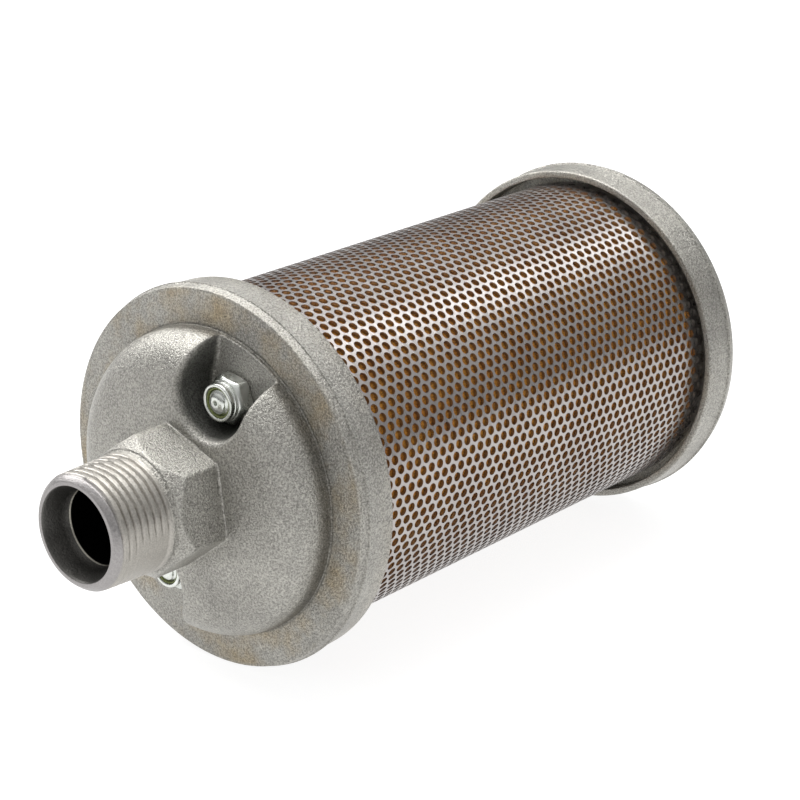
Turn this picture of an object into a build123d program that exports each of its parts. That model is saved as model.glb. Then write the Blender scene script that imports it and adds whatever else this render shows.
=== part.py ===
from build123d import *
import os
from math import cos, hypot, pi, radians, sin, tan

# Pneumatic exhaust muffler. A die-cast inlet head and a die-cast end cap are drawn together by two tie bolts
# over a perforated sleeve, two wraps of felt and a perforated core tube. All sizes are in millimetres.
# The muffler's axis is X. The origin is the centre of the inlet's mouth, +X runs towards the end cap, and +Z
# is up as the muffler lies on its two flanges. Every piece is drawn with the bolts straight above and below
# the axis, then the whole stack is turned by the clocking angle.

# ---- Driving dimensions ----
# Overall
sleeve_diameter = 80.0
body_gap = 121.4  # sleeve that shows between the two rims
clocking = 22.0  # degrees from straight up to the first bolt

# Inlet, 3/4-14 NPT male
thread_pitch = 25.4 / 14
thread_pitch_diameter = 24.579  # at the mouth
thread_taper = 1 / 16  # on diameter
thread_length = 15.2
thread_depth = 1.2
thread_crest = 0.3  # flat crest, as a share of the pitch
thread_root = 0.2  # flat root, as a share of the pitch
nose_chamfer = 1.0
mouth_radius = 10.7
throat_radius = 8.6
throat_start = 6.3  # the mouth narrows to the throat over this length
neck_length = 1.5

# Hexagon for the wrench
hex_across_flats = 28.6
hex_length = 12.6
hex_front_margin = 0.4  # from the neck to the start of the hexagon's chamfer
hex_chamfer_length = 3.6

# Dome of the head
flange_face_width = 8.4  # from the dome out to the rim's edge
dome_height = 11.3  # above the flange's face
dome_fall = 0.9  # drop of the crown from the hexagon to the shoulder
dome_skirt = 1.4  # straight wall between the round shoulder and the flange's face
dome_wall = 4.0
chamber_fall = 2.4  # the chamber's roof slopes this much from the throat to its corner
chamber_corner = 5.0

# Rims, alike on both castings
rim_width = 10.4
ridge_setback = 2.3  # from the outer face to the parting ridge
rim_draft = 0.65  # radial, from the ridge down to either edge
rim_edge_radius = 0.8
lip_wall = 1.8
lip_gap = 2.0  # radial, from the sleeve out to the lip
lip_depth = 5.0  # from the rim's inner edge to the sleeve's seat

# Sleeve, felt and core
sleeve_wall = 0.8
core_wall = 1.0
core_hole_diameter = 7.0
core_holes_round = 10
core_hole_spacing = 10.8
core_blank_end = 9.0  # no holes nearer than this to an end
felt_seam = 0.5

# Registers that hold the sleeve and the core tube true
head_spigot = 3.0
head_core_register = 2.5
cap_core_register = 1.5
register_clearance = 0.15
stack_clearance = 0.1  # between pieces that lie against each other

# Tie bolts, nuts and washers, M6
bolt_circle = 47.6
bolt_diameter = 6.0
bolt_hole_clearance = 0.4
bolt_head_height = 4.0
bolt_tip_chamfer = 0.6
bolt_proud = 0.5  # bolt that shows beyond the nut
bolt_dimple_radius = 0.6
wrench_size = 10.0  # across the flats of nut and bolt head
corner_chamfer = 0.6  # depth of the turned chamfer on those hexagons
thread_clearance = 0.05
nut_height = 6.0
nut_hex_height = 4.0
nut_collar_wall = 0.45  # outside the nylon ring
nut_collar_edge = 0.45
insert_wall = 0.85  # the nylon ring stands this far out from the bolt's thread
insert_length = 1.6
insert_lip_gap = 0.4  # from the thread out to the collar's rolled lip
washer_radius = 6.0
washer_thickness = 1.6

# Nut pockets in the dome
pocket_half_width = 9.8
pocket_offset = 2.2  # its round end is centred this far out from the bolt
pocket_floor_rise = 1.0  # above the flange's face
pocket_floor_wall = 3.4
pocket_side_wall = 3.0

# End cap
cap_dish = 6.8  # from the outer face to the floor of the recess
spot_face_depth = 0.8  # the washers' spot faces, below the floor of the recess
spot_face_margin = 1.3  # beyond the washer
cap_plate = 3.0
cap_spigot_wall = 4.65  # from the spigot's outside to the mouth of the recess
cap_recess_draft = 0.5
cap_recess_corner = 3.0
rib_width = 2.0
rib_setback = 3.4  # rib tops below the outer face
hub_radius = 6.5

# ---- Radii ----
sleeve_radius = sleeve_diameter / 2
sleeve_bore = sleeve_radius - sleeve_wall
spigot_radius = sleeve_bore - register_clearance
lip_radius = sleeve_radius + lip_gap
rim_edge = lip_radius + lip_wall
flange_radius = rim_edge + rim_draft
dome_radius = rim_edge - flange_face_width
dome_shoulder = dome_height - dome_fall - dome_skirt
bolt_radius = bolt_diameter / 2
bolt_hole = bolt_radius + bolt_hole_clearance
bolt_orbit = bolt_circle / 2
core_bore = bolt_orbit + bolt_hole + bolt_hole_clearance
core_radius = core_bore + core_wall
chamber_radius = min(core_bore - register_clearance, dome_radius - dome_wall)
nut_bore = bolt_radius + thread_clearance
insert_lip_radius = bolt_radius + insert_lip_gap
insert_radius = bolt_radius + insert_wall
nut_collar_radius = insert_radius + nut_collar_wall
spot_face_radius = washer_radius + spot_face_margin
cap_recess_radius = spigot_radius - cap_spigot_wall
hex_apothem = hex_across_flats / 2
hex_corner = hex_apothem / cos(pi / 6)

# ---- Stations along the axis ----
hex_front = thread_length + neck_length
hex_base = hex_front + hex_length
head_face = hex_base + dome_height
head_rim_end = head_face + rim_width
head_seat = head_rim_end - lip_depth
head_spigot_end = head_seat + head_spigot
core_start = head_spigot_end - head_core_register

cap_rim_start = head_rim_end + body_gap
cap_face = cap_rim_start + rim_width
cap_seat = cap_rim_start + lip_depth
cap_recess_floor = cap_face - cap_dish
spot_face = cap_recess_floor - spot_face_depth
core_end = cap_recess_floor - cap_plate
cap_spigot_end = core_end - cap_core_register

pocket_floor = head_face - pocket_floor_rise
nut_top = pocket_floor - nut_height
bolt_tip = nut_top - bolt_proud
bolt_seat = spot_face + washer_thickness
bolt_length = bolt_seat - bolt_tip

bolt_sides = {"a": 1, "b": -1}  # above and below the axis, before clocking


def crest_radius(x):
    """Outside radius of the tapered thread at a station x behind the mouth."""
    return (thread_pitch_diameter + 0.8 * thread_pitch + thread_taper * x) / 2


def turned(outline):
    """Solid of revolution about X from a closed outline of (station, radius) corners."""
    return revolve(make_face(Polyline(*outline, close=True)), axis=Axis.X)


def bar(radius, start, end, side=0):
    """Round bar along X between two stations, on the axis or on a bolt's centre line."""
    place = Plane(origin=(start, 0, side * bolt_orbit), x_dir=(0, 1, 0), z_dir=(1, 0, 0))
    return extrude(place * Circle(radius), amount=end - start)


def hexagon_bar(across_flats, start, end, side=0, turn=0):
    """Hexagonal bar along X, with a flat facing +Z when turn is 0."""
    place = Plane(origin=(start, 0, side * bolt_orbit), x_dir=(0, 1, 0), z_dir=(1, 0, 0))
    outline = RegularPolygon(across_flats / 2, side_count=6, major_radius=False, rotation=turn)
    return extrude(place * outline, amount=end - start)


def slot_bar(half_width, start, end, side):
    """U-shaped block along X: its round end lies over a bolt's nut, and it is straight-sided and open outwards."""
    centre = bolt_orbit + pocket_offset
    reach = flange_radius - centre
    round_end = Pos(0, 0, side * pocket_offset) * bar(half_width, start, end, side)
    sides = Pos((start + end) / 2, 0, side * (centre + reach / 2)) * Box(end - start, 2 * half_width, reach)
    return round_end + sides


def thread_outline():
    """Corners of the inlet's thread from the mouth back: a chamfer, then one groove for every pitch."""
    points = [(0, crest_radius(0) - nose_chamfer), (nose_chamfer, crest_radius(nose_chamfer))]
    flank = (1 - thread_crest - thread_root) / 2 * thread_pitch
    x = nose_chamfer + thread_crest * thread_pitch
    while x + 2 * flank + thread_root * thread_pitch < thread_length:
        points.append((x, crest_radius(x)))
        x += flank
        points.append((x, crest_radius(x) - thread_depth))
        x += thread_root * thread_pitch
        points.append((x, crest_radius(x) - thread_depth))
        x += flank
        points.append((x, crest_radius(x)))
        x += thread_crest * thread_pitch
    points.append((thread_length, crest_radius(thread_length)))
    return points


def rim_outline(face, inward):
    """Edges of one rim from its outer face back to its inner edge; inward is the way along X to the sleeve."""
    edge = rim_edge_radius
    return [
        (face, rim_edge - edge),
        (face + inward * edge * (1 - cos(pi / 4)), rim_edge - edge * (1 - sin(pi / 4))),
        (face + inward * edge, rim_edge),
        (face + inward * ridge_setback, flange_radius),
        (face + inward * rim_width, rim_edge),
    ]


def dome_outline():
    """Crown of the dome from the hexagon's foot to the flange's face, its round shoulder as short chords."""
    centre_x = hex_base + dome_fall + dome_shoulder
    centre_r = dome_radius - dome_shoulder
    steps = 8
    shoulder = []
    for i in range(steps + 1):
        a = pi / 2 * i / steps
        shoulder.append((centre_x - dome_shoulder * cos(a), centre_r + dome_shoulder * sin(a)))
    return [(hex_base, hex_corner), *shoulder, (head_face, dome_radius)]


def inlet_hexagon():
    """Wrench hexagon whose front corners are turned off by a ball, from a ring at the front to the corners."""
    back = hex_base + dome_fall + dome_wall
    ring = crest_radius(thread_length) + hex_front_margin
    reach = (hex_chamfer_length**2 + hex_corner**2 - ring**2) / (2 * hex_chamfer_length)
    centre = hex_front + reach
    blank = Pos(centre, 0, 0) * Sphere(hypot(reach, ring)) + bar(hex_corner, centre, back)
    return hexagon_bar(hex_across_flats, hex_front, back) & blank


def head_chamber():
    """Air passage of the head: tapered mouth, throat, then the chamber under the dome, clear of the pockets."""
    roof = hex_base + dome_wall
    corner = roof + chamber_fall
    chamber = turned(
        [
            (-1, 0),
            (0, 0),
            (0, mouth_radius),
            (throat_start, throat_radius),
            (roof, throat_radius),
            (corner, chamber_radius - chamber_corner),
            (corner + chamber_corner, chamber_radius),
            (core_start, chamber_radius),
            (core_start, core_radius + register_clearance),
            (head_spigot_end + 1, core_radius + register_clearance),
            (head_spigot_end + 1, 0),
        ]
    )
    for side in bolt_sides.values():
        floor = pocket_floor + pocket_floor_wall
        chamber = chamber - slot_bar(pocket_half_width + pocket_side_wall, hex_base, floor, side)
    return chamber + bar(throat_radius, hex_front, core_start)


def inlet_head():
    """Die-cast head: threaded nipple, hexagon, dome with two nut pockets, and the rim that takes the sleeve."""
    body = turned(
        [
            (0, 0),
            *thread_outline(),
            (hex_front, crest_radius(thread_length)),
            (hex_base, crest_radius(thread_length)),
            *dome_outline(),
            *rim_outline(head_face, 1),
            (head_rim_end, lip_radius),
            (head_seat, lip_radius),
            (head_seat, spigot_radius),
            (head_spigot_end, spigot_radius),
            (head_spigot_end, 0),
        ]
    )
    for side in bolt_sides.values():
        body = body - slot_bar(pocket_half_width, hex_front, pocket_floor, side)
    body = body + inlet_hexagon() - head_chamber()
    for side in bolt_sides.values():
        body = body - bar(bolt_hole, hex_base, head_spigot_end + 1, side)
    return body


def end_cap():
    """Die-cast end cap: a dished, ribbed plate with the rim and spigot that take the sleeve."""
    wall = cap_recess_radius - cap_recess_draft
    corner = cap_recess_corner
    body = turned(
        [
            (core_end, 0),
            (core_end, core_radius + register_clearance),
            (cap_spigot_end, core_radius + register_clearance),
            (cap_spigot_end, spigot_radius),
            (cap_seat, spigot_radius),
            (cap_seat, lip_radius),
            (cap_rim_start, lip_radius),
            *reversed(rim_outline(cap_face, -1)),
            (cap_face, cap_recess_radius),
            (cap_recess_floor + corner, wall),
            (cap_recess_floor + corner * (1 - cos(pi / 4)), wall - corner * (1 - sin(pi / 4))),
            (cap_recess_floor, wall - corner),
            (cap_recess_floor, 0),
        ]
    )
    rib_top = cap_face - rib_setback
    ribs = bar(hub_radius, core_end, rib_top)
    for angle in (0, 45, 135):
        rib = Box(rib_top - core_end, 2 * cap_recess_radius, rib_width)
        ribs = ribs + Pos((rib_top + core_end) / 2, 0, 0) * Rot(angle, 0, 0) * rib
    body = body + ribs
    for side in bolt_sides.values():
        body = body - bar(spot_face_radius, spot_face, cap_face + 1, side)
        body = body - bar(bolt_hole, cap_spigot_end - 1, cap_face, side)
    return body


def tube(outer, inner, start, end):
    """Plain tube about the axis."""
    return turned([(start, inner), (start, outer), (end, outer), (end, inner)])


def outer_sleeve():
    """Rolled sleeve seated on both castings. Its fine perforation is left out of this solid."""
    return tube(sleeve_radius, sleeve_bore, head_seat + stack_clearance, cap_seat - stack_clearance)


def core_tube():
    """Inner tube with staggered rows of round holes that spread the exhaust into the felt."""
    start = core_start + stack_clearance
    end = core_end - stack_clearance
    body = tube(core_radius, core_bore, start, end)
    rows = int((end - start - 2 * core_blank_end) / core_hole_spacing) + 1
    first = (start + end - (rows - 1) * core_hole_spacing) / 2
    drills = []
    for row in range(rows):
        for i in range(core_holes_round):
            turn = 360 * (i + row % 2 / 2) / core_holes_round
            drill = Cylinder(core_hole_diameter / 2, core_radius, align=(Align.CENTER, Align.CENTER, Align.MIN))
            drills.append(Pos(first + row * core_hole_spacing, 0, 0) * Rot(turn, 0, 0) * drill)
    return body - drills


def felt_wrap(inner, outer, seam_angle):
    """One layer of felt round the core tube, its two edges butted along a straight seam."""
    start = head_spigot_end + stack_clearance
    end = cap_spigot_end - stack_clearance
    slit = Box(end - start + 2, felt_seam, outer, align=(Align.CENTER, Align.CENTER, Align.MIN))
    return tube(outer, inner, start, end) - Pos((start + end) / 2, 0, 0) * Rot(seam_angle, 0, 0) * slit


def chamfered_hexagon(start, end, side):
    """Small hexagon along X whose corners are turned off at both ends."""
    corner = wrench_size / 2 / cos(pi / 6)
    rim = corner - corner_chamfer / tan(radians(30))
    blank = turned(
        [
            (start, 0),
            (start, rim),
            (start + corner_chamfer, corner),
            (end - corner_chamfer, corner),
            (end, rim),
            (end, 0),
        ]
    )
    return hexagon_bar(wrench_size, start, end, side) & Pos(0, 0, side * bolt_orbit) * blank


def tie_bolt(side):
    """Hex-headed bolt from the end cap to the head, with a chamfered, dimpled tip."""
    shank = turned(
        [
            (bolt_tip, 0),
            (bolt_tip, bolt_radius - bolt_tip_chamfer),
            (bolt_tip + bolt_tip_chamfer, bolt_radius),
            (bolt_seat, bolt_radius),
            (bolt_seat, 0),
        ]
    )
    shank = Pos(0, 0, side * bolt_orbit) * shank
    head = chamfered_hexagon(bolt_seat, bolt_seat + bolt_head_height, side)
    dimple = Pos(bolt_tip, 0, side * bolt_orbit) * Sphere(bolt_dimple_radius)
    return shank + head - dimple


def lock_nut(side):
    """Steel nut: hexagon, round collar and the recess that holds the nylon ring."""
    hexagon = chamfered_hexagon(pocket_floor - nut_hex_height, pocket_floor, side)
    insert_end = pocket_floor - nut_hex_height + corner_chamfer
    lip = insert_end - insert_length
    collar = turned(
        [
            (nut_top, 0),
            (nut_top, nut_collar_radius - nut_collar_edge),
            (nut_top + nut_collar_edge, nut_collar_radius),
            (insert_end, nut_collar_radius),
            (insert_end, 0),
        ]
    )
    nut = hexagon + Pos(0, 0, side * bolt_orbit) * collar
    nut = nut - bar(nut_bore, nut_top - 1, pocket_floor + 1, side)
    nut = nut - bar(insert_radius, lip, insert_end, side)
    return nut - bar(insert_lip_radius, nut_top - 1, lip, side)


def nut_insert(side):
    """Nylon ring held in the nut's collar, which grips the bolt's thread."""
    end = pocket_floor - nut_hex_height + corner_chamfer
    start = end - insert_length
    return bar(insert_radius, start, end, side) - bar(nut_bore, start - 1, end + 1, side)


def bolt_washer(side):
    """Plain washer between the end cap and the bolt's head."""
    return bar(washer_radius, spot_face, bolt_seat, side) - bar(bolt_hole, spot_face - 1, bolt_seat + 1, side)


def all_pieces():
    """Every piece of the muffler by name, before the stack is turned to its clocking angle."""
    felt_middle = (core_radius + sleeve_bore) / 2
    pieces = {
        "inlet_head": inlet_head(),
        "end_cap": end_cap(),
        "outer_sleeve": outer_sleeve(),
        "core_tube": core_tube(),
        "inner_felt_wrap": felt_wrap(core_radius + stack_clearance, felt_middle, 70),
        "outer_felt_wrap": felt_wrap(felt_middle + stack_clearance, spigot_radius, 250),
    }
    for name, side in bolt_sides.items():
        pieces[f"tie_bolt_{name}"] = tie_bolt(side)
        pieces[f"lock_nut_{name}"] = lock_nut(side)
        pieces[f"nut_insert_{name}"] = nut_insert(side)
        pieces[f"bolt_washer_{name}"] = bolt_washer(side)
    return pieces


os.makedirs("parts", exist_ok=True)
for node, piece in all_pieces().items():
    export_step(Rot(clocking, 0, 0) * piece, f"parts/{node}.step")
print(f"tie bolts are {bolt_length:.2f} mm under the head")
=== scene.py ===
import bpy
import numpy as np
from mathutils import Matrix, Vector


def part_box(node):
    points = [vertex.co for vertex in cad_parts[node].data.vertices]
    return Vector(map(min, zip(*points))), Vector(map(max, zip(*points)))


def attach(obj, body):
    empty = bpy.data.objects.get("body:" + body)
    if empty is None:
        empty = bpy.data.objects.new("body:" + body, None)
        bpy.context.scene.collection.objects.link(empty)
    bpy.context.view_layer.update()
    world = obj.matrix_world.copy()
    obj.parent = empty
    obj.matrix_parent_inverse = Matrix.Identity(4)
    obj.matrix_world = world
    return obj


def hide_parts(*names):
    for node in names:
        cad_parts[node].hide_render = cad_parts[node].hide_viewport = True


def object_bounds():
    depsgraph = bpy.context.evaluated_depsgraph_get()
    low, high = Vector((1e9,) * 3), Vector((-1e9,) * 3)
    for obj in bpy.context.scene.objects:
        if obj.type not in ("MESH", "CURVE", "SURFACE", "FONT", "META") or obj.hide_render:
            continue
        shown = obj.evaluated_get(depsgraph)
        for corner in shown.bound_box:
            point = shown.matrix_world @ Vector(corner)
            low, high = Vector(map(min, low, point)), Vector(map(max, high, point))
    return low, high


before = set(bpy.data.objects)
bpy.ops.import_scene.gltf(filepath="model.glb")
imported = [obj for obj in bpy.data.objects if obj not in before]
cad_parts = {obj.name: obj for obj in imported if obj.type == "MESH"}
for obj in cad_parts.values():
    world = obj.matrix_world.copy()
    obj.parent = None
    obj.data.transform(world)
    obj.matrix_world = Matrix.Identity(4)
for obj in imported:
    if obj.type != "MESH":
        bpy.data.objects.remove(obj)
cad_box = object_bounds()


# ======================================================================================================
# Studio. Glowing white board under the muffler, a grey room round it, one large soft box overhead and two
# smaller ones, and a long lens that looks at the inlet end from above and to one side.
# ======================================================================================================
floor_z = cad_box[0][2]


def plain_material(name, colour, metallic, roughness):
    """A Principled material with its constant values on the shader's own sockets."""
    material = bpy.data.materials.new(name)
    material.use_nodes = True
    shader = material.node_tree.nodes["Principled BSDF"]
    shader.inputs["Base Color"].default_value = (*colour, 1)
    shader.inputs["Metallic"].default_value = metallic
    shader.inputs["Roughness"].default_value = roughness
    return material


def white_board():
    """Flat disc of white board, far wider than the view, lit through so that shadows on it stay faint."""
    reach, corners = 9.0, 64
    turn = np.linspace(0, 2 * np.pi, corners, endpoint=False)
    ring = np.stack([reach * np.cos(turn), reach * np.sin(turn), np.full(corners, floor_z)], 1)
    mesh = bpy.data.meshes.new("white_board")
    mesh.from_pydata(ring.tolist(), [], [list(range(corners))])
    board = bpy.data.objects.new("white_board", mesh)
    bpy.context.collection.objects.link(board)
    paper = plain_material("white_board", (0.25, 0.25, 0.25), 0.0, 1.0)
    shader = paper.node_tree.nodes["Principled BSDF"]
    shader.inputs["Specular IOR Level"].default_value = 0.0
    shader.inputs["Emission Color"].default_value = (1, 1, 1, 1)
    shader.inputs["Emission Strength"].default_value = 0.88
    mesh.materials.append(paper)


def pale_room():
    """World light that rises from grey at the horizon to white overhead."""
    world = bpy.data.worlds.new("pale_room")
    bpy.context.scene.world = world
    world.use_nodes = True
    nodes, links = world.node_tree.nodes, world.node_tree.links
    place = nodes.new("ShaderNodeTexCoord")
    split = nodes.new("ShaderNodeSeparateXYZ")
    shade = nodes.new("ShaderNodeValToRGB")
    shade.color_ramp.elements[0].color = (0.16, 0.16, 0.165, 1)
    shade.color_ramp.elements[0].position = 0.08
    shade.color_ramp.elements[1].color = (0.9, 0.9, 0.9, 1)
    shade.color_ramp.elements[1].position = 0.8
    links.new(place.outputs["Generated"], split.inputs[0])
    links.new(split.outputs["Z"], shade.inputs[0])
    links.new(shade.outputs[0], nodes["Background"].inputs["Color"])


def soft_box(name, place, aim, width, height, power):
    """Rectangular lamp at a place, turned to face its aim."""
    data = bpy.data.lights.new(name, "AREA")
    data.shape = "RECTANGLE"
    data.size, data.size_y = width, height
    data.energy = power
    lamp = bpy.data.objects.new(name, data)
    bpy.context.collection.objects.link(lamp)
    away = Vector(place) - Vector(aim)
    lamp.matrix_world = Matrix.Translation(place) @ away.to_track_quat("Z", "Y").to_matrix().to_4x4()


def long_lens():
    """Camera half a metre off, turned to look along the muffler from its inlet end."""
    azimuth, elevation = np.radians(-49.4), np.radians(20.1)
    aim, reach = np.array([0.0639, -0.0345, 0.0205]), 0.503
    level = np.cos(elevation)
    back = np.array([np.sin(azimuth) * level, -np.cos(azimuth) * level, np.sin(elevation)])
    data = bpy.data.cameras.new("long_lens")
    data.lens = 104.6
    data.clip_start, data.clip_end = 0.01, 50
    camera = bpy.data.objects.new("long_lens", data)
    bpy.context.collection.objects.link(camera)
    turn = Vector(back).to_track_quat("Z", "Y").to_matrix().to_4x4()
    camera.matrix_world = Matrix.Translation(aim + back * reach) @ turn
    bpy.context.scene.camera = camera


bpy.context.scene.view_settings.view_transform = "Standard"
white_board()
pale_room()
soft_box("overhead_box", (0.2, 0.15, 0.8), (0.09, 0, 0), 0.6, 0.4, 5.0)
soft_box("side_box", (0.02, 0.75, 0.62), (0.04, 0, 0), 0.6, 0.4, 6.0)
soft_box("back_box", (0.73, -0.12, 0.62), (0.09, 0, 0), 0.3, 0.3, 0.7)
long_lens()


# ======================================================================================================
# Inlet head. One aluminium die casting: threaded nipple, wrench hexagon, dome with two nut pockets, and
# the rim that takes the sleeve. Shot-blasted after casting, so it keeps a fine bright grain.
# ======================================================================================================
mm = 0.001
head_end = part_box("inlet_head")[1][0] / mm
flange_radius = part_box("inlet_head")[1][1] / mm
nut_boxes = [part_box(f"lock_nut_{side}") for side in "ab"]
bolt_places = [(np.array(low) + high) / 2 / mm for low, high in nut_boxes]
bolt_orbit = float(np.hypot(*bolt_places[0][1:]))
bolt_turns = [float(np.arctan2(place[2], place[1])) for place in bolt_places]

thread_pitch, thread_end, thread_groove = 25.4 / 14, 15.2, 0.65
nose_chamfer = 1.0
mouth_radius, throat_radius, throat_start = 10.7, 8.6, 6.3
hex_front, hex_base, hex_apothem, hex_corner = 16.7, 29.3, 14.3, 16.3
hex_chamfer = 3.6
hex_softness = 0.12  # width of the turn where a flat meets the circle that cuts its corner
dome_radius, dome_shoulder, dome_fall = 35.4, 9.0, 0.9
head_face = head_end - 10.4
pocket_width, pocket_centre, pocket_floor, pocket_edge = 9.4, bolt_orbit + 2.2, head_face - 1.0, 1.3
ridge_setback, rim_draft, lip_radius = 2.3, 0.65, 42.0
rim_edge = flange_radius - rim_draft
spigot_radius, core_seat_radius, chamber_radius = 39.05, 28.75, 27.45


def smooth_step(value, low, high):
    """Share of the way from low to high, kept within 0 and 1 and level at both ends."""
    share = np.clip((value - low) / (high - low), 0, 1)
    return share * share * (3 - 2 * share)


def soft_low(a, b, width):
    """The lower of two values, with a round turn about that wide where they cross."""
    return (a + b - np.sqrt((a - b) ** 2 + width**2)) / 2


def angle_gap(turn, centre):
    """Angle between two directions round the axis, from 0 to half a turn."""
    return np.abs((turn - centre + np.pi) % (2 * np.pi) - np.pi)


def crowded_turns(count, centres, spread, crowding):
    """Directions round the axis, that many times closer together within the spread of the given ones."""
    fine = np.linspace(0, 2 * np.pi, 7201)
    near = np.max([np.exp(-((angle_gap(fine, centre) / spread) ** 6)) for centre in centres], axis=0)
    total = np.concatenate([[0], np.cumsum(1 + (crowding - 1) * near[:-1])])
    return np.interp(np.linspace(0, total[-1], count, endpoint=False), total, fine)


def about_axis(station, radius, turns):
    """Points at a station along X, a radius from the axis and a direction round it, over rings by columns."""
    station, radius, turns = np.broadcast_arrays(station, radius, turns)
    return np.stack([station, radius * np.cos(turns), radius * np.sin(turns)], -1)


def turned(outline, turns):
    """Rings of a surface of revolution about X from (station, radius) rows."""
    outline = np.asarray(outline, float)
    return about_axis(outline[:, :1], outline[:, 1:], turns)


def arc(station, radius, size, start, end, count):
    """(station, radius) rows round an arc from one angle to another; 0 points along +X and 90 outwards."""
    bend = np.radians(np.linspace(start, end, count))
    return np.stack([station + size * np.cos(bend), radius + size * np.sin(bend)], 1)


def ring_quads(rings, columns, first=0, closed=False):
    """Quads between neighbouring rings numbered from first; the last ring joins the first if closed."""
    ring = np.arange(rings if closed else rings - 1)[:, None]
    column = np.arange(columns)[None, :]
    after, beyond = (ring + 1) % rings, (column + 1) % columns
    ring, after = ring * columns, after * columns
    corners = [ring + column, ring + beyond, after + beyond, after + column]
    return np.stack(np.broadcast_arrays(*corners), -1).reshape(-1, 4) + first


def solid_piece(name, points, faces, sharp=38):
    """Object from points in millimetres and arrays of faces, turned outwards by the sign of its volume."""
    points = np.asarray(points, float).reshape(-1, 3)
    volume = 0.0
    for group in faces:
        corners = points[group] - points.mean(0)
        for i in range(1, group.shape[1] - 1):
            volume += np.sum(corners[:, 0] * np.cross(corners[:, i], corners[:, i + 1]))
    if volume < 0:
        faces = [group[:, ::-1] for group in faces]
    mesh = bpy.data.meshes.new(name)
    mesh.from_pydata((points * mm).tolist(), [], [face for group in faces for face in group.tolist()])
    mesh.shade_smooth()
    mesh.set_sharp_from_angle(angle=np.radians(sharp))
    piece = bpy.data.objects.new(name, mesh)
    bpy.context.collection.objects.link(piece)
    return piece


def nose_rings(turns):
    """Throat, cast mouth and thin flat nose, from the chamber's roof forwards to the start of the thread."""
    edge = crest_radius(0) - nose_chamfer - 0.25
    return turned(
        [
            (hex_base + 3.6, throat_radius),
            (18.0, throat_radius),
            (throat_start + 0.6, throat_radius),
            *arc(throat_start + 0.25, throat_radius + 0.25, 0.25, -90, -160, 4),
            (4.2, 9.3),
            (2.1, 10.02),
            (0.6, 10.5),
            *arc(0.3, mouth_radius + 0.2, 0.3, -150, -180, 3),
            *arc(0.2, edge - 0.2, 0.2, 180, 130, 3),
            (0.45, edge + 0.36),
            (0.8, edge + 0.66),
        ],
        turns,
    )


def crest_radius(station):
    """Outside radius of the tapered thread: half the pitch diameter plus half the thread's height."""
    return (24.579 + 0.8 * thread_pitch + station / 16) / 2


def thread_rings(turns):
    """Nipple from the nose to the neck: radius = crest - groove x cut. The round groove winds right-handed,
    its phase station / pitch - turn / 2 pi, and dies out towards the die's parting line on both sides."""
    station = np.linspace(nose_chamfer, thread_end, 86)[:, None]
    phase = (station / thread_pitch - turns / (2 * np.pi)) % 1
    groove = 1 - smooth_step(np.abs(phase - 0.5) * 2, 0.0, 0.5)
    parting = np.minimum(*[angle_gap(turns, turn + np.pi / 2) for turn in bolt_turns])
    cut = smooth_step(parting, np.radians(20), np.radians(40))
    front = smooth_step(station, 7.5, 3.0) * smooth_step(parting, 0, np.radians(32))
    cut = np.maximum(cut, 0.5 * front)
    ends = smooth_step(station, 0.9, 2.0) * smooth_step(station, thread_end, thread_end - 0.9)
    nose = 0.5 * smooth_step(station, 1.9, 0.8)
    radius = crest_radius(station) - nose - (thread_groove * groove * cut + 0.25 * (1 - cut)) * ends
    return about_axis(station, radius, turns)


def hexagon_radius(turns, apothem, corner, middle, width):
    """Distance from the axis to a hexagon's side, its corners cut by a circle with a soft turn."""
    sector = (turns - middle + np.pi / 6) % (np.pi / 3) - np.pi / 6
    return soft_low(apothem / np.cos(sector), corner, width)


def hexagon_rings(turns):
    """Neck, front ring, turned chamfer, six flats, and the small fillet where they meet the dome."""
    neck = crest_radius(thread_end)
    hexagon = hexagon_radius(turns, hex_apothem, hex_corner, bolt_turns[0], hex_softness)
    front = turned(
        [
            (hex_front - 1.0, neck),
            (hex_front - 0.4, neck),
            (hex_front - 0.15, neck + 0.05),
            (hex_front, neck + 0.2),
            (hex_front + 0.03, neck + 0.42),
        ],
        turns,
    )
    station = hex_front + hex_chamfer * np.linspace(0.03, 1.1, 14)[:, None]
    cone = neck + 0.45 + (hex_corner + 0.25 - neck - 0.45) * (station - hex_front) / hex_chamfer
    chamfer = about_axis(station, soft_low(cone, hexagon, 0.1), turns)
    flats = about_axis(np.array([21.5, 23.5, 25.5, 27.5, 28.6])[:, None], hexagon, turns)
    foot = 0.4
    bend = np.radians([10, 32, 54, 74, 90])[:, None]
    fillet = about_axis(hex_base - foot + foot * np.sin(bend), hexagon + foot * (1 - np.cos(bend)), turns)
    return np.concatenate([front, chamfer, flats, fillet])


def sunk(station, radius, turns, width, floor, edge, hole=0.0):
    """Stations of a surface lowered to a floor inside a U, open outwards, round each bolt. The lip is a
    quarter round, the wall leans by one in five, a fillet meets the floor, and a drilled hole goes deeper."""
    depth = np.zeros(np.broadcast(station, radius, turns).shape)
    bottom = floor + np.zeros(depth.shape)
    for turn in bolt_turns:
        out = radius * np.cos(turns - turn)
        side = radius * np.sin(turns - turn)
        from_bolt = np.hypot(side, out - bolt_orbit)
        inside = np.where(out < pocket_centre, np.hypot(side, out - pocket_centre), np.abs(side)) - width
        lip = edge - np.sqrt(np.maximum(edge**2 - np.clip(edge - inside, 0, edge) ** 2, 0))
        wall = edge + 5.0 * np.maximum(-inside, 0)
        depth = np.maximum(depth, np.where(inside > 0, lip, wall))
        bottom = bottom + 3.0 * smooth_step(from_bolt, hole + 0.1, hole - 0.1) if hole else bottom
    room = np.maximum(bottom - station, 0)
    return station + np.maximum(soft_low(depth, room, 0.7), 0)


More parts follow.
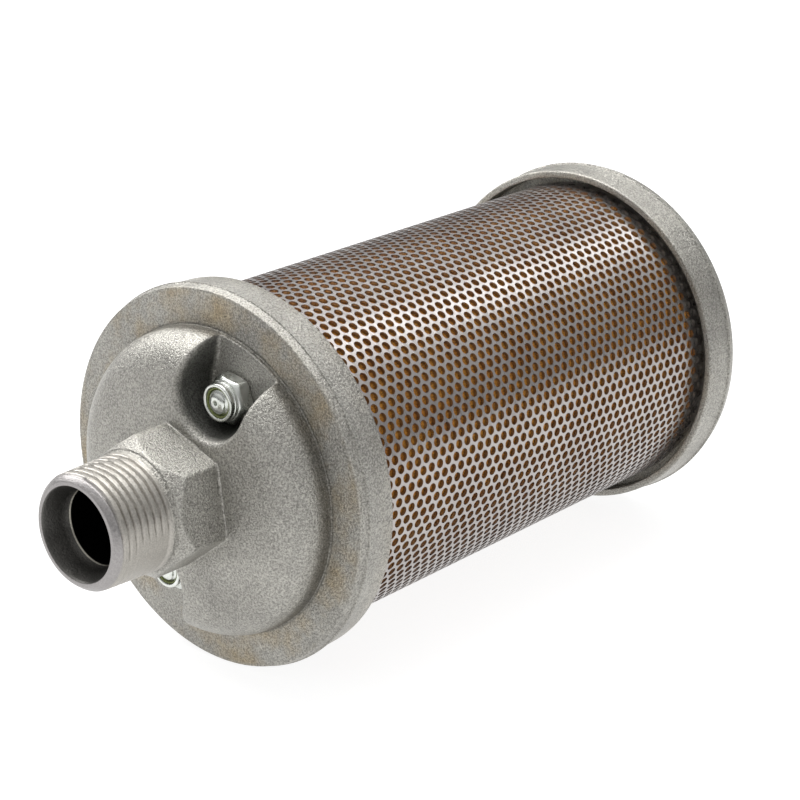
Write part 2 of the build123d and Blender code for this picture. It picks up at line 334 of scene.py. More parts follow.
def dome_rings(turns):
    """Crown, round shoulder and short wall of the dome, with the two nut pockets sunk in it."""
    begin = 8.5
    crown_end = dome_radius - dome_shoulder + dome_shoulder * np.sin(np.radians(begin))
    start = hexagon_radius(turns, hex_apothem, hex_corner, bolt_turns[0], hex_softness) + 0.6
    radius = start + (crown_end - start) * np.linspace(0, 1, 44)[:, None]
    rise = np.clip((radius - hex_apothem) / (crown_end - hex_apothem), 0, 1)
    bend_station, bend_radius = hex_base + dome_fall + dome_shoulder, dome_radius - dome_shoulder
    shoulder = arc(bend_station, bend_radius, dome_shoulder, 180 - begin, 90, 32)[1:]
    foot = arc(head_face - 0.3, dome_radius + 0.3, 0.3, -80, 0, 5)
    edge = np.concatenate([shoulder, foot])
    station = np.concatenate([hex_base + dome_fall * rise**2, edge[:, :1] + 0 * turns])
    radius = np.concatenate([radius, edge[:, 1:] + 0 * turns])
    floor = pocket_floor + 0.3 * smooth_step(radius, dome_radius - 0.35, dome_radius + 0.1)
    return about_axis(sunk(station, radius, turns, pocket_width, floor, pocket_edge, 3.4), radius, turns)


def rim_outline(face, inward, inner_end):
    """Rim from its outer face round its edge, over the raised parting ridge, to its inner edge and lip."""
    ridge = face + inward * ridge_setback
    return [
        (face, rim_edge - 2.5),
        (face, rim_edge - 0.5),
        *arc(face + inward * 0.3, rim_edge - 0.3, 0.3, 90 + inward * 90, 90, 5),
        (face + inward * 0.5, rim_edge + 0.02),
        (ridge - inward * 0.6, flange_radius - 0.34),
        (ridge - inward * 0.25, flange_radius - 0.3),
        (ridge - inward * 0.1, flange_radius - 0.02),
        (ridge + inward * 0.1, flange_radius - 0.02),
        (ridge + inward * 0.25, flange_radius - 0.3),
        (ridge + inward * 0.7, flange_radius - 0.34),
        (inner_end - inward * 3.5, rim_edge + 0.1),
        *arc(inner_end - inward * 0.5, rim_edge - 0.5, 0.5, 90, 90 - inward * 90, 5),
        (inner_end, lip_radius + 0.4),
        *arc(inner_end - inward * 0.3, lip_radius + 0.3, 0.3, 90 - inward * 115, 90 - inward * 180, 3),
    ]


def head_back_rings(turns):
    """Flange, rim, sleeve's seat, spigot, core's seat, and the chamber whose roof clears the pockets."""
    seat, spigot_end, core_seat, roof = head_end - 5.0, head_end - 2.0, head_end - 4.5, hex_base + 4.0
    outline = np.array(
        [
            (head_face, dome_radius + 1.4),
            (head_face, 38.8),
            *rim_outline(head_face, 1, head_end),
            (seat, lip_radius),
            (seat, spigot_radius),
            (spigot_end, spigot_radius),
            (spigot_end, core_seat_radius),
            (core_seat, core_seat_radius),
            (core_seat, chamber_radius),
            *arc(roof + 5.5, chamber_radius - 5.5, 5.5, 90, 180, 6),
            (roof, 20.0),
            (roof, 16.0),
            (roof, 12.0),
            (roof, 9.4),
        ]
    )
    station, radius = outline[:, :1] + 0 * turns, outline[:, 1:] + 0 * turns
    inner = outline[:, 1] < chamber_radius + 0.01
    station[inner] = sunk(station[inner], radius[inner], turns, pocket_width + 3, pocket_floor + 3.4, 0.5)
    return about_axis(station, radius, turns)


def cast_head():
    """The casting as one closed skin. The nipple has a third of the dome's columns, and two rings of
    six-sided faces join them, at the neck and round the throat in the chamber's roof."""
    coarse_count = 160
    turns = crowded_turns(3 * coarse_count, bolt_turns, np.radians(42), 3.4)
    body = np.concatenate([hexagon_rings(turns), dome_rings(turns), head_back_rings(turns)])
    nipple = np.concatenate([nose_rings(turns[::3]), thread_rings(turns[::3])])
    start, roof = len(body) * len(turns), (len(body) - 1) * len(turns)
    neck = start + (len(nipple) - 1) * coarse_count
    coarse = np.arange(coarse_count)
    ahead = (coarse + 1) % coarse_count
    fine = np.stack([(3 * coarse + i) % len(turns) for i in (3, 2, 1, 0)], 1)
    return solid_piece(
        "inlet_head_casting",
        np.concatenate([body.reshape(-1, 3), nipple.reshape(-1, 3)]),
        [
            ring_quads(len(body), len(turns)),
            ring_quads(len(nipple), coarse_count, start),
            np.column_stack([neck + coarse, neck + ahead, fine]),
            np.column_stack([start + coarse, start + ahead, roof + fine])[:, ::-1],
        ],
        sharp=50,
    )


def add_noise(nodes, links, place, size_mm, detail=3.0, roughness=0.55):
    """Noise on object coordinates with features about that size."""
    texture = nodes.new("ShaderNodeTexNoise")
    texture.inputs["Scale"].default_value = 1000 / size_mm
    texture.inputs["Detail"].default_value = detail
    texture.inputs["Roughness"].default_value = roughness
    links.new(place, texture.inputs["Vector"])
    return texture.outputs["Fac"]


def add_ramp(nodes, links, value, *stops):
    """Colour ramp over a value; each stop is a position and a grey or a colour."""
    node = nodes.new("ShaderNodeValToRGB")
    elements = node.color_ramp.elements
    while len(elements) < len(stops):
        elements.new(0.5)
    for element, (position, colour) in zip(elements, stops):
        element.position = position
        element.color = (colour, colour, colour, 1) if np.isscalar(colour) else (*colour, 1)
    links.new(value, node.inputs[0])
    return node.outputs[0]


def add_mix(nodes, links, share, low, high, blend="MIX"):
    """Blend of two colours by a share; each is an output or a constant."""
    node = nodes.new("ShaderNodeMix")
    node.data_type = "RGBA"
    node.blend_type = blend
    for value, socket in ((share, node.inputs["Factor"]), (low, node.inputs["A"]), (high, node.inputs["B"])):
        socket = socket if socket.name == "Factor" else node.inputs[{"A": 6, "B": 7}[socket.name]]
        if hasattr(value, "node"):
            links.new(value, socket)
        else:
            socket.default_value = value if np.isscalar(value) else (*value, 1)
    return node.outputs[2]


def add_step(nodes, links, value, low, high):
    """Share of the way from low to high, kept within 0 and 1."""
    node = nodes.new("ShaderNodeMapRange")
    node.inputs["From Min"].default_value = low
    node.inputs["From Max"].default_value = high
    links.new(value, node.inputs["Value"])
    return node.outputs[0]


def add_math(nodes, links, operation, a, b=0.0):
    """One Math node on two values, each an output or a number."""
    node = nodes.new("ShaderNodeMath")
    node.operation = operation
    for value, socket in zip((a, b), node.inputs):
        if hasattr(value, "node"):
            links.new(value, socket)
        else:
            socket.default_value = value
    return node.outputs[0]


def add_bumps(nodes, links, shader, *heights):
    """Chain of bumps on a shader; each is a height, a strength and a depth in millimetres."""
    normal = None
    for height, strength, depth in heights:
        bump = nodes.new("ShaderNodeBump")
        bump.inputs["Strength"].default_value = strength
        bump.inputs["Distance"].default_value = depth * mm
        links.new(height, bump.inputs["Height"])
        if normal:
            links.new(normal, bump.inputs["Normal"])
        normal = bump.outputs["Normal"]
    links.new(normal, shader.inputs["Normal"])


def open_material(name, colour, metallic, roughness):
    """A plain material with its nodes, links, shader and object coordinates, ready for detail."""
    material = plain_material(name, colour, metallic, roughness)
    nodes, links = material.node_tree.nodes, material.node_tree.links
    place = nodes.new("ShaderNodeTexCoord").outputs["Object"]
    return material, nodes, links, nodes["Principled BSDF"], place


def axis_distance(nodes, links, place):
    """Distance from the muffler's axis, and the station along it, both in metres."""
    split = nodes.new("ShaderNodeSeparateXYZ")
    links.new(place, split.inputs[0])
    square = [add_math(nodes, links, "MULTIPLY", split.outputs[axis], split.outputs[axis]) for axis in "YZ"]
    return add_math(nodes, links, "SQRT", add_math(nodes, links, "ADD", *square)), split.outputs["X"]


def add_product(nodes, links, first, *others):
    """Several values multiplied together."""
    for other in others:
        first = add_math(nodes, links, "MULTIPLY", first, other)
    return first


def cast_aluminium(name, stain):
    """Shot-blasted casting: sparkling grain of about half a millimetre over soft grey clouds, with ochre
    stains on the flange outside the dome and a painted shade line in the corner round the dome's foot. The
    nipple is paler and warmer. The inside of the mouth has painted shade as far as a painted highlight on the
    edge of the throat, and the walls of the pockets have painted shade too."""
    material, nodes, links, shader, place = open_material(name, (0.4, 0.39, 0.375), 0.9, 0.5)
    clouds = add_noise(nodes, links, place, 16, 4)
    grain = add_noise(nodes, links, place, 0.45, 2, 0.75)
    speck = add_noise(nodes, links, place, 0.3, 1, 0.6)
    base = add_ramp(nodes, links, clouds, (0.3, (0.315, 0.305, 0.279)), (0.7, (0.415, 0.404, 0.37)))
    radius, station = axis_distance(nodes, links, place)
    nipple = add_step(nodes, links, station, 0.0158, 0.0152)
    base = add_mix(nodes, links, nipple, base, (0.42, 0.40, 0.365))
    nose = add_step(nodes, links, station, 0.0020, 0.0014)
    base = add_mix(nodes, links, nose, base, (0.34, 0.325, 0.32))
    # Painted shade: the walls of both nut pockets are painted near black, standing in for the shade inside
    # the pockets.
    side = nodes.new("ShaderNodeVectorMath")
    side.operation = "DOT_PRODUCT"
    side.inputs[1].default_value = (0, -np.sin(bolt_turns[0]), np.cos(bolt_turns[0]))
    links.new(place, side.inputs[0])
    sideways = add_math(nodes, links, "ABSOLUTE", side.outputs["Value"])
    below_crown = add_step(nodes, links, station, 0.0301, 0.0320)
    above_floor = add_step(nodes, links, station, 0.0394, 0.0384)
    pocket_wall_painted_shade = add_step(nodes, links, sideways, 0.0103, 0.0089)
    pocket_wall_painted_shade = add_product(nodes, links, pocket_wall_painted_shade, below_crown, above_floor)
    base = add_mix(nodes, links, pocket_wall_painted_shade, base, (0.11, 0.11, 0.10))
    off_dome = add_step(nodes, links, radius, 0.0350, 0.0362)
    off_rim = add_step(nodes, links, radius, 0.0440, 0.0428)
    blotch = add_ramp(nodes, links, add_noise(nodes, links, place, 14, 4, 0.6), (0.42, 0.0), (0.68, stain))
    ochre = add_product(nodes, links, off_dome, off_rim, blotch)
    base = add_mix(nodes, links, ochre, base, (0.36, 0.28, 0.16))
    # Painted shade: a dark line painted round the dome's foot, standing in for the shade in the corner where
    # the dome meets the flange.
    corner = add_math(nodes, links, "SUBTRACT", radius, (dome_radius + 0.15) * mm)
    corner = add_step(nodes, links, add_math(nodes, links, "ABSOLUTE", corner), 0.0006, 0.0002)
    on_head = add_step(nodes, links, station, 0.052, 0.050)
    corner = add_product(nodes, links, corner, on_head, 0.6)
    base = add_mix(nodes, links, corner, base, (0.12, 0.115, 0.10))
    # Painted shade and painted highlight: the inside of the mouth is painted dark, with a lighter painted
    # band on the throat's edge and near black beyond it.
    inside = add_step(nodes, links, radius, 0.01085, 0.01072)
    inside = add_product(nodes, links, inside, add_step(nodes, links, station, 0.035, 0.033))
    depth = add_step(nodes, links, station, 0.0, 0.008)
    dark, edge = (0.10, 0.097, 0.09), (0.45, 0.43, 0.37)
    mouth_shade_and_highlight_stops = ((0.0, dark), (0.755, dark), (0.77, edge), (0.79, edge), (0.805, 0.008))
    mouth_painted_shade = add_ramp(nodes, links, depth, *mouth_shade_and_highlight_stops)
    base = add_mix(nodes, links, inside, base, mouth_painted_shade)
    sparkle = add_ramp(nodes, links, grain, (0.36, 0.15), (0.5, 0.5), (0.64, 0.9))
    smoother = add_math(nodes, links, "SUBTRACT", 1.0, add_product(nodes, links, nipple, 0.65))
    share = add_product(nodes, links, smoother, 0.55)
    base = add_mix(nodes, links, share, base, sparkle, "OVERLAY")
    links.new(base, shader.inputs["Base Color"])
    links.new(add_ramp(nodes, links, grain, (0.3, 0.3), (0.7, 0.5)), shader.inputs["Roughness"])
    grain, speck = [add_product(nodes, links, height, smoother) for height in (grain, speck)]
    add_bumps(nodes, links, shader, (clouds, 0.3, 0.5), (grain, 1.0, 0.26), (speck, 1.0, 0.09))
    return material


head = cast_head()
head.data.materials.append(cast_aluminium("cast_aluminium_head", 0.75))
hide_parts("inlet_head")
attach(head, "root")


# ======================================================================================================
# Perforated sleeve. Thin steel sheet punched with staggered round holes and rolled into a tube; both its
# plain edges sit in the castings' grooves. It is made as two lengths that meet along a row of holes.
# ======================================================================================================
sleeve_low, sleeve_high = [corner[0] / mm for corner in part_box("outer_sleeve")]
sleeve_radius, sleeve_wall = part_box("outer_sleeve")[1][1] / mm, 0.8
lines_round, hole_rows, hole_radius = 104, 90, 1.08
hole_step = 2.83  # along each line of holes; neighbouring lines are half a step apart
row_pitch = hole_step / 2
web = 1.28  # from a hole's centre to the border of its cell, along X


def perforated_length(name, first, last):
    """Rows first to last of the sleeve; a row has a hole on every other line. Each hole is a twelve-sided
    ring in a six-cornered cell; six five-sided faces fill the cell on both skins, and twelve quads make the
    hole's wall. Cell borders are zigzag lines of stations, centre - web under a hole and
    centre - pitch + web between."""
    start = (sleeve_low + sleeve_high - (hole_rows - 1) * row_pitch) / 2
    around = lines_round
    half_step = 2 * np.pi / around
    line = np.arange(first, last + 2)[:, None]
    place = np.arange(around)[None, :]
    under = (place - line % 2) % 2 == 0
    border = start + line * row_pitch - np.where(under, web, row_pitch - web)
    if first == 0:
        border = np.concatenate([np.full((1, around), sleeve_low), border])
    if last == hole_rows - 1:
        border = np.concatenate([border, np.full((1, around), sleeve_high)])
    row = np.arange(first, last + 1)[:, None, None]
    column = np.arange(around // 2)[None, :, None]
    bend = np.radians(30) * np.arange(12)[None, None, :]
    hole_station = start + row * row_pitch + hole_radius * np.sin(bend)
    hole_turn = (2 * column + row % 2) * half_step + hole_radius * np.cos(bend) / sleeve_radius
    hole_station, hole_turn = np.broadcast_arrays(hole_station, hole_turn)
    stations = np.concatenate([border.ravel(), hole_station.ravel()])
    turns = np.concatenate([(place * half_step + 0 * border).ravel(), hole_turn.ravel()])
    outer = about_axis(stations, sleeve_radius, turns)
    inner = about_axis(stations, sleeve_radius - sleeve_wall, turns)

    skip = 1 if first == 0 else 0
    centre = (2 * column + row % 2)[..., 0]
    low = (row[..., 0] - first + skip) * around
    corner = {}
    cell_corners = {30: (1, 1), 90: (1, 0), 150: (1, -1), 210: (0, -1), 270: (0, 0), 330: (0, 1)}
    for direction, (rise, shift) in cell_corners.items():
        corner[direction] = low + rise * around + (centre + shift) % around
    ring = border.size + 12 * ((row[..., 0] - first) * (around // 2) + column[..., 0])
    cells = []
    for direction in corner:
        t = direction // 30
        following = (direction + 60) % 360
        face = [corner[direction], corner[following], ring + (t + 2) % 12, ring + (t + 1) % 12, ring + t]
        cells.append(np.stack(np.broadcast_arrays(*face), -1).reshape(-1, 5))
    skin = np.concatenate(cells)
    rims = ring.reshape(-1, 1) + np.arange(12)
    ahead = ring.reshape(-1, 1) + (np.arange(12) + 1) % 12
    size = len(stations)
    walls = np.stack([rims, ahead, ahead + size, rims + size], -1).reshape(-1, 4)
    ends = [np.arange(around), (len(border) - 1) * around + np.arange(around)]
    bands = []
    if first == 0:
        bands.append(ring_quads(2, around))
    if last == hole_rows - 1:
        bands.append(ring_quads(2, around, (len(border) - 2) * around))
    quads = [walls]
    for band in bands:
        quads += [band, band[:, ::-1] + size]
    for sign, end in zip((-1, 1), ends):
        beyond = np.roll(end, -1)
        quads.append(np.stack([end, beyond, beyond + size, end + size], 1)[:, ::sign])
    return solid_piece(name, np.concatenate([outer, inner]), [skin, skin[:, ::-1] + size, *quads], sharp=30)


def rolled_steel(name):
    """Satin sheet steel: faint lilac grey, drawn streaks round the tube and a few soft smudges."""
    material, nodes, links, shader, place = open_material(name, (0.4, 0.37, 0.35), 1.0, 0.34)
    stretch = nodes.new("ShaderNodeMapping")
    stretch.inputs["Scale"].default_value = (9.0, 0.6, 0.6)
    links.new(place, stretch.inputs["Vector"])
    streaks = add_noise(nodes, links, stretch.outputs[0], 3.0, 4, 0.6)
    smudges = add_noise(nodes, links, place, 12, 3)
    base = add_ramp(nodes, links, smudges, (0.3, (0.39, 0.365, 0.355)), (0.7, (0.47, 0.445, 0.43)))
    links.new(base, shader.inputs["Base Color"])
    links.new(add_ramp(nodes, links, streaks, (0.3, 0.24), (0.7, 0.42)), shader.inputs["Roughness"])
    add_bumps(nodes, links, shader, (streaks, 0.25, 0.03), (smudges, 0.3, 0.2))
    return material


sleeve_steel = rolled_steel("perforated_steel_satin")
middle_row = hole_rows // 2
for name, first, last in (
    ("sleeve_inlet_half", 0, middle_row),
    ("sleeve_cap_half", middle_row + 1, hole_rows - 1),
):
    length = perforated_length(name, first, last)
    length.data.materials.append(sleeve_steel)
    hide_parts("outer_sleeve")
    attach(length, "root")


# ======================================================================================================
# Felt packing. Two layers of dense orange-brown felt wrapped round the core tube, each cut to size and
# butted along a straight seam. The outer one shows through the sleeve's holes.
# ======================================================================================================
felt_low, felt_high = [corner[0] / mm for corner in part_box("outer_felt_wrap")]
felt_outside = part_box("outer_felt_wrap")[1][1] / mm
felt_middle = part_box("inner_felt_wrap")[1][1] / mm
felt_inside = 28.7


def felt_layer(name, inside, outside, seam):
    """Closed section carried round the axis from one edge of the seam to the other. Both faces lie in by
    0.05 (1 + a product of two waves), a low uneven quilt, and never stand proud of the layer's size."""
    gap = 0.25 / inside
    turns = np.linspace(seam + gap, seam + 2 * np.pi - gap, 241)
    along = np.linspace(felt_low, felt_high, 84)
    station = np.concatenate([along, along[::-1]])[:, None]
    waves = np.sin(1.3 * station + 2 * np.sin(5 * turns)) * np.sin(23 * turns + np.sin(0.4 * station))
    quilt = 0.05 * (1 + waves)
    face = np.where(np.arange(len(station)) < len(along), 1, 0)[:, None]
    radius = np.where(face == 1, outside - quilt, inside + quilt)
    points = about_axis(station, radius, turns)
    rings, columns = points.shape[:2]
    quads = ring_quads(rings, columns, closed=True).reshape(rings, columns, 4)[:, :-1].reshape(-1, 4)
    loop = np.arange(rings) * columns
    return solid_piece(name, points, [quads, loop[None, ::-1], loop[None, :] + columns - 1])


def dense_felt(name):
    """Matted fibres: two crossed sets of fine stretched noise over blotches from rust to dark brown."""
    material, nodes, links, shader, place = open_material(name, (0.4, 0.17, 0.05), 0.0, 0.95)
    tangle = []
    for turn in ((0.3, 0.2, 0.9), (1.2, 0.8, -0.5)):
        stretch = nodes.new("ShaderNodeMapping")
        stretch.inputs["Rotation"].default_value = turn
        stretch.inputs["Scale"].default_value = (1.0, 4.5, 1.0)
        links.new(place, stretch.inputs["Vector"])
        tangle.append(add_noise(nodes, links, stretch.outputs[0], 0.9, 3, 0.65))
    fibres = add_math(nodes, links, "MAXIMUM", *tangle)
    blotch = add_noise(nodes, links, place, 6, 4)
    base = add_ramp(nodes, links, blotch, (0.3, (0.58, 0.21, 0.025)), (0.7, (0.8, 0.36, 0.05)))
    dark = add_ramp(nodes, links, fibres, (0.42, 0.4), (0.62, 1.0))
    links.new(add_mix(nodes, links, 1.0, base, dark, "MULTIPLY"), shader.inputs["Base Color"])
    shader.inputs["Sheen Weight"].default_value = 0.3
    shader.inputs["Specular IOR Level"].default_value = 0.2
    add_bumps(nodes, links, shader, (fibres, 0.9, 0.25))
    return material


felt = dense_felt("orange_brown_felt")
for node, inside, outside, seam in (
    ("outer_felt_wrap", felt_middle + 0.1, felt_outside, np.radians(182)),
    ("inner_felt_wrap", felt_inside, felt_middle, np.radians(2)),
):
    layer = felt_layer(node.replace("_wrap", "_layer"), inside, outside, seam)
    layer.data.materials.append(felt)
    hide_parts(node)
    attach(layer, "root")


# ======================================================================================================
# Core tube. Perforated steel tube that holds the felt off the tie bolts and spreads the exhaust into it.
# ======================================================================================================
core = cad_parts["core_tube"]
core_steel = rolled_steel("core_steel_satin")
for material_slot in core.material_slots:
    material_slot.material = core_steel


# ======================================================================================================
# Tie bolts. Two M6 hexagon-head steel bolts, bright zinc plated, with rolled threads and domed,
# dimpled ends. They run from the end cap through the core tube to the nuts in the head's pockets.
# ======================================================================================================
wrench_apothem, wrench_corner = 5.0, 5.66
bolt_pitch, bolt_radius, bolt_thread_length = 1.0, 3.0, 18.0
bolt_head_height = 4.0


def hexagon_part(outline, turns, middle):
    """Rings whose radius is the lower of an outline's and a small hexagon's."""
    outline = np.asarray(outline, float)
    hexagon = hexagon_radius(turns, wrench_apothem, wrench_corner + 0.2, middle, 0.08)
    return about_axis(outline[:, :1], soft_low(outline[:, 1:], hexagon, 0.1), turns)


def tie_bolt(name, node, place, middle):
    """Rings from the dimpled tip to the head's top, about the bolt's own axis. The thread's radius is
    major - depth x (a triangle wave of station / pitch - turn / 2 pi), faded at both its ends."""
    tip, top = [corner[0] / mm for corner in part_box(node)]
    seat = top - bolt_head_height
    turns = np.linspace(0, 2 * np.pi, 48, endpoint=False) + middle
    dimple = [(tip + 1.8, 0.15), (tip + 0.3, 0.42), (tip + 0.06, 0.5), (tip, 0.7)]
    end = turned([*dimple, (tip + 0.05, 1.3), (tip + 0.25, 1.9), (tip + 0.5, 2.2)], turns)
    station = np.linspace(tip + 0.7, tip + bolt_thread_length + 1.5, 160)[:, None]
    wave = np.abs((station / bolt_pitch - turns / (2 * np.pi)) % 1 - 0.5) * 2
    fade = smooth_step(station, tip + bolt_thread_length + 1, tip + bolt_thread_length - 1)
    start = smooth_step(station, tip + 0.4, tip + 1.5)
    radius = bolt_radius - 0.02 - 0.5 * smooth_step(wave, 0.9, 0.1) * fade - 0.6 * (1 - start)
    thread = about_axis(station, radius, turns)
    shank = turned(
        [
            (seat - 1.5, bolt_radius),
            (seat - 0.4, bolt_radius),
            (seat - 0.05, bolt_radius + 0.15),
            (seat, bolt_radius + 0.5),
        ],
        turns,
    )
    rim = wrench_corner - 0.9
    head = hexagon_part(
        [
            (seat, 4.6),
            (seat + 0.15, 4.8),
            (seat + 0.4, 5.3),
            (seat + 0.7, 5.9),
            (top - 0.9, 5.9),
            (top - 0.5, 5.5),
            (top - 0.12, rim),
            (top, rim - 0.25),
        ],
        turns,
        middle,
    )
    crown = turned([(top, 3.2), (top - 0.08, 3.0), (top - 0.08, 1.0)], turns)
    points = np.concatenate([end, thread, shank, head, crown]) + np.array([0, *place[1:]])
    rings, columns = points.shape[:2]
    first, last = np.arange(columns)[None, ::-1], np.arange(columns)[None, :] + (rings - 1) * columns
    return solid_piece(name, points, [ring_quads(rings, columns), first, last], sharp=42)


def bright_zinc(name):
    """Zinc plate over steel: bright, slightly blue-green, with small dull patches and fine tool marks."""
    material, nodes, links, shader, place = open_material(name, (0.72, 0.74, 0.71), 1.0, 0.2)
    patches = add_noise(nodes, links, place, 2.5, 4)
    fine = add_noise(nodes, links, place, 0.35, 2)
    base = add_ramp(nodes, links, patches, (0.3, (0.62, 0.65, 0.6)), (0.7, (0.82, 0.83, 0.8)))
    links.new(base, shader.inputs["Base Color"])
    links.new(add_ramp(nodes, links, patches, (0.35, 0.2), (0.7, 0.4)), shader.inputs["Roughness"])
    add_bumps(nodes, links, shader, (fine, 0.25, 0.02), (patches, 0.2, 0.05))
    return material


zinc = bright_zinc("bright_zinc_plate")
for side, place, turn in zip("ab", bolt_places, bolt_turns):
    bolt = tie_bolt(f"tie_bolt_{side}_zinc", f"tie_bolt_{side}", place, turn)
    bolt.data.materials.append(zinc)
    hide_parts(f"tie_bolt_{side}")
    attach(bolt, f"tie_bolt_{side}")


# ======================================================================================================
# Lock nuts. Cold-formed steel hexagons, zinc plated, with a round collar whose edge is rolled in over a
# ring of olive nylon. The ring grips the bolt's thread and keeps the nut from working loose.
# ======================================================================================================
nut_bore, ring_radius, ring_length, roll_radius = 3.05, 3.85, 1.6, 3.4
collar_radius, nut_hexagon = 4.3, 4.0
nut_turns = {side: turn - np.radians(10) for side, turn in zip("ab", bolt_turns)}


def lock_nut(name, node, place, middle):
    """Closed outline carried round the bolt: bore, base, chamfered hexagon, collar, rolled lip and the
    ring's seat."""
    top, base = [corner[0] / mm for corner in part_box(node)]
    turns = np.linspace(0, 2 * np.pi, 72, endpoint=False) + middle
    shoulder = base - nut_hexagon
    seat = shoulder + 0.6
    bore = turned([(base - 0.4, nut_bore), (base, nut_bore + 0.4)], turns)
    hexagon = hexagon_part(
        [
            (base, 4.6),
            (base - 0.1, 4.8),
            (base - 0.3, 5.4),
            (base - 0.5, 5.9),
            (shoulder + 1.05, 5.95),
            (shoulder + 0.6, 5.4),
            (shoulder + 0.1, 4.75),
            (shoulder, 4.6),
        ],
        turns,
        middle,
    )
    collar = turned(
        [
            (shoulder + 0.02, collar_radius + 0.04),
            (shoulder - 0.1, collar_radius - 0.1),
            *arc(shoulder - 0.45, collar_radius - 0.05, 0.28, 20, 160, 6),
            (shoulder - 0.8, collar_radius - 0.12),
            (shoulder - 0.9, collar_radius),
            (top + 0.5, collar_radius),
            *arc(top + 0.35, collar_radius - 0.35, 0.35, 90, 180, 5),
            *arc(top + 0.25, roll_radius + 0.3, 0.25, 180, 270, 5),
            (seat - ring_length, roll_radius + 0.05),
            (seat - ring_length, ring_radius),
            (seat, ring_radius),
            (seat, nut_bore),
        ],
        turns,
    )
    points = np.concatenate([bore, hexagon, collar]) + np.array([0, *place[1:]])
    return solid_piece(name, points, [ring_quads(*points.shape[:2], closed=True)], sharp=42)


def nylon_ring(name, node, place):
    """Closed rounded section carried round the bolt."""
    low, high = [corner[0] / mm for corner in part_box(node)]
    turns = np.linspace(0, 2 * np.pi, 64, endpoint=False)
    section = [
        *arc(low - 0.55, nut_bore + 0.17, 0.17, 270, 90, 7),
        (low, roll_radius - 0.02),
        *arc(low + 0.1, ring_radius - 0.1, 0.1, 180, 90, 3),
        (high, ring_radius),
        (high, nut_bore),
    ]
    points = turned(section, turns) + np.array([0, *place[1:]])
    return solid_piece(name, points, [ring_quads(*points.shape[:2], closed=True)])


def olive_nylon(name):
    """Moulded nylon, dull olive with a waxy gloss and faint mottling."""
    material, nodes, links, shader, place = open_material(name, (0.16, 0.19, 0.06), 0.0, 0.42)
    mottle = add_noise(nodes, links, place, 0.8, 3)
    base = add_ramp(nodes, links, mottle, (0.3, (0.12, 0.15, 0.04)), (0.7, (0.24, 0.27, 0.1)))
    links.new(base, shader.inputs["Base Color"])
    add_bumps(nodes, links, shader, (mottle, 0.2, 0.05))
    return material


nylon = olive_nylon("olive_nylon")
for side, place in zip("ab", bolt_places):
    nut = lock_nut(f"lock_nut_{side}_zinc", f"lock_nut_{side}", place, nut_turns[side])
    ring = nylon_ring(f"nut_insert_{side}_nylon", f"nut_insert_{side}", place)
    for piece, finish, node, slot in (
        (nut, zinc, "lock_nut", "zinc_steel"),
        (ring, nylon, "nut_insert", "nylon"),
    ):
        piece.data.materials.append(finish)
        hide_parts(f"{node}_{side}")
        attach(piece, f"lock_nut_{side}")


# ======================================================================================================
# End cap. Aluminium die casting like the head: the same rim and sleeve seat, and a dished back with six
# ribs from a hub and a spot face for the washer under each bolt's head.
# ======================================================================================================
cap_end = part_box("end_cap")[1][0] / mm
recess_floor, recess_radius, recess_corner = cap_end - 6.8, 34.4, 3.0
spot_depth, spot_radius = 0.8, 7.3
rib_height, rib_half, hub_radius = 3.4, 1.0, 6.5
rib_angles = (22, 67, 157)  # each rib crosses the hub to the far side


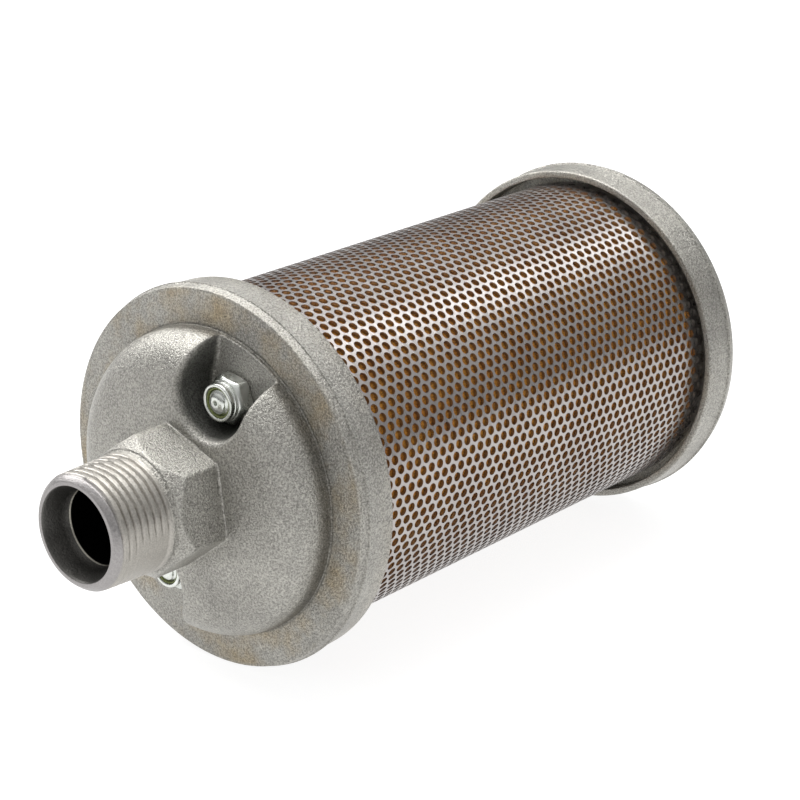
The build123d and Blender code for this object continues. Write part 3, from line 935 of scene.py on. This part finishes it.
def cap_back_rings(turns):
    """Recess from its mouth to the hub. Its floor is raised by the ribs and the hub, each with drafted sides
    and a small fillet, and lowered by a round spot face at each bolt."""
    mouth = arc(cap_end - 0.7, recess_radius + 0.7, 0.7, 0, -86, 6)
    corner = arc(recess_floor + recess_corner, recess_radius - 0.5 - recess_corner, recess_corner, 90, 180, 9)
    floor = np.stack([np.full(60, recess_floor), np.linspace(corner[-1][1], 0.6, 61)[1:]], 1)
    outline = np.concatenate([mouth, corner, floor])
    station, radius = outline[:, :1] + 0 * turns, outline[:, 1:] + 0 * turns
    away = np.full(radius.shape, 99.0)
    for angle in rib_angles:
        away = np.minimum(away, np.abs(radius * np.sin(turns - np.radians(angle))) - rib_half)
    away = np.minimum(away, radius - hub_radius)
    raised = rib_height * smooth_step(away, 0.55, -0.15)
    from_bolts = [
        np.hypot(radius * np.cos(turns - turn) - bolt_orbit, radius * np.sin(turns - turn))
        for turn in bolt_turns
    ]
    seat = np.minimum(*from_bolts)
    at_seat = smooth_step(seat, spot_radius + 0.15, spot_radius - 0.15)
    top = np.maximum(station, np.minimum(recess_floor + raised, cap_end - 3.4))
    top = np.where(station > recess_floor + rib_height, station, top)
    return about_axis(top + (recess_floor - spot_depth - top) * at_seat, radius, turns)


def cast_cap():
    """The casting as one skin from the middle of its inner face round the rim to the hub, closed at both
    poles."""
    spokes = [np.radians(angle + half) for angle in rib_angles for half in (0, 180)]
    turns = crowded_turns(432, spokes, np.radians(8), 3.0)
    start, seat = cap_end - 10.4, cap_end - 5.4
    inner = turned(
        [
            (cap_end - 9.8, 0.6),
            (cap_end - 9.8, core_seat_radius),
            (cap_end - 11.3, core_seat_radius),
            (cap_end - 11.3, spigot_radius),
            (seat, spigot_radius),
            (seat, lip_radius),
            *rim_outline(cap_end, -1, start)[::-1],
            (cap_end, recess_radius + 3),
        ],
        turns,
    )
    points = np.concatenate([inner, cap_back_rings(turns)])
    rings, columns = points.shape[:2]
    first, last = np.arange(columns)[None, ::-1], np.arange(columns)[None, :] + (rings - 1) * columns
    return solid_piece("end_cap_casting", points, [ring_quads(rings, columns), first, last])


cap = cast_cap()
cap.data.materials.append(cast_aluminium("cast_aluminium_cap", 0.3))
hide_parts("end_cap")
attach(cap, "root")


# ======================================================================================================
# Washers. Plain stamped steel, zinc plated, one under each bolt's head in the end cap's spot faces.
# ======================================================================================================
def plain_washer(name, node, place):
    """Closed section with stamped, slightly rounded edges carried round the bolt."""
    low, high = [corner[0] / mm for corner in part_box(node)]
    outside, hole, edge = 6.0, 3.4, 0.2
    turns = np.linspace(0, 2 * np.pi, 96, endpoint=False)
    section = [
        *arc(low + edge, hole + edge, edge, 270, 180, 3),
        *arc(low + edge, outside - edge, edge, 180, 90, 3),
        *arc(high - edge, outside - edge, edge, 90, 0, 3),
        *arc(high - edge, hole + edge, edge, 0, -90, 3),
    ]
    points = turned(section, turns) + np.array([0, *place[1:]])
    return solid_piece(name, points, [ring_quads(*points.shape[:2], closed=True)])


for side, place in zip("ab", bolt_places):
    washer = plain_washer(f"bolt_washer_{side}_zinc", f"bolt_washer_{side}", place)
    washer.data.materials.append(zinc)
    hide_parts(f"bolt_washer_{side}")
    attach(washer, "root")
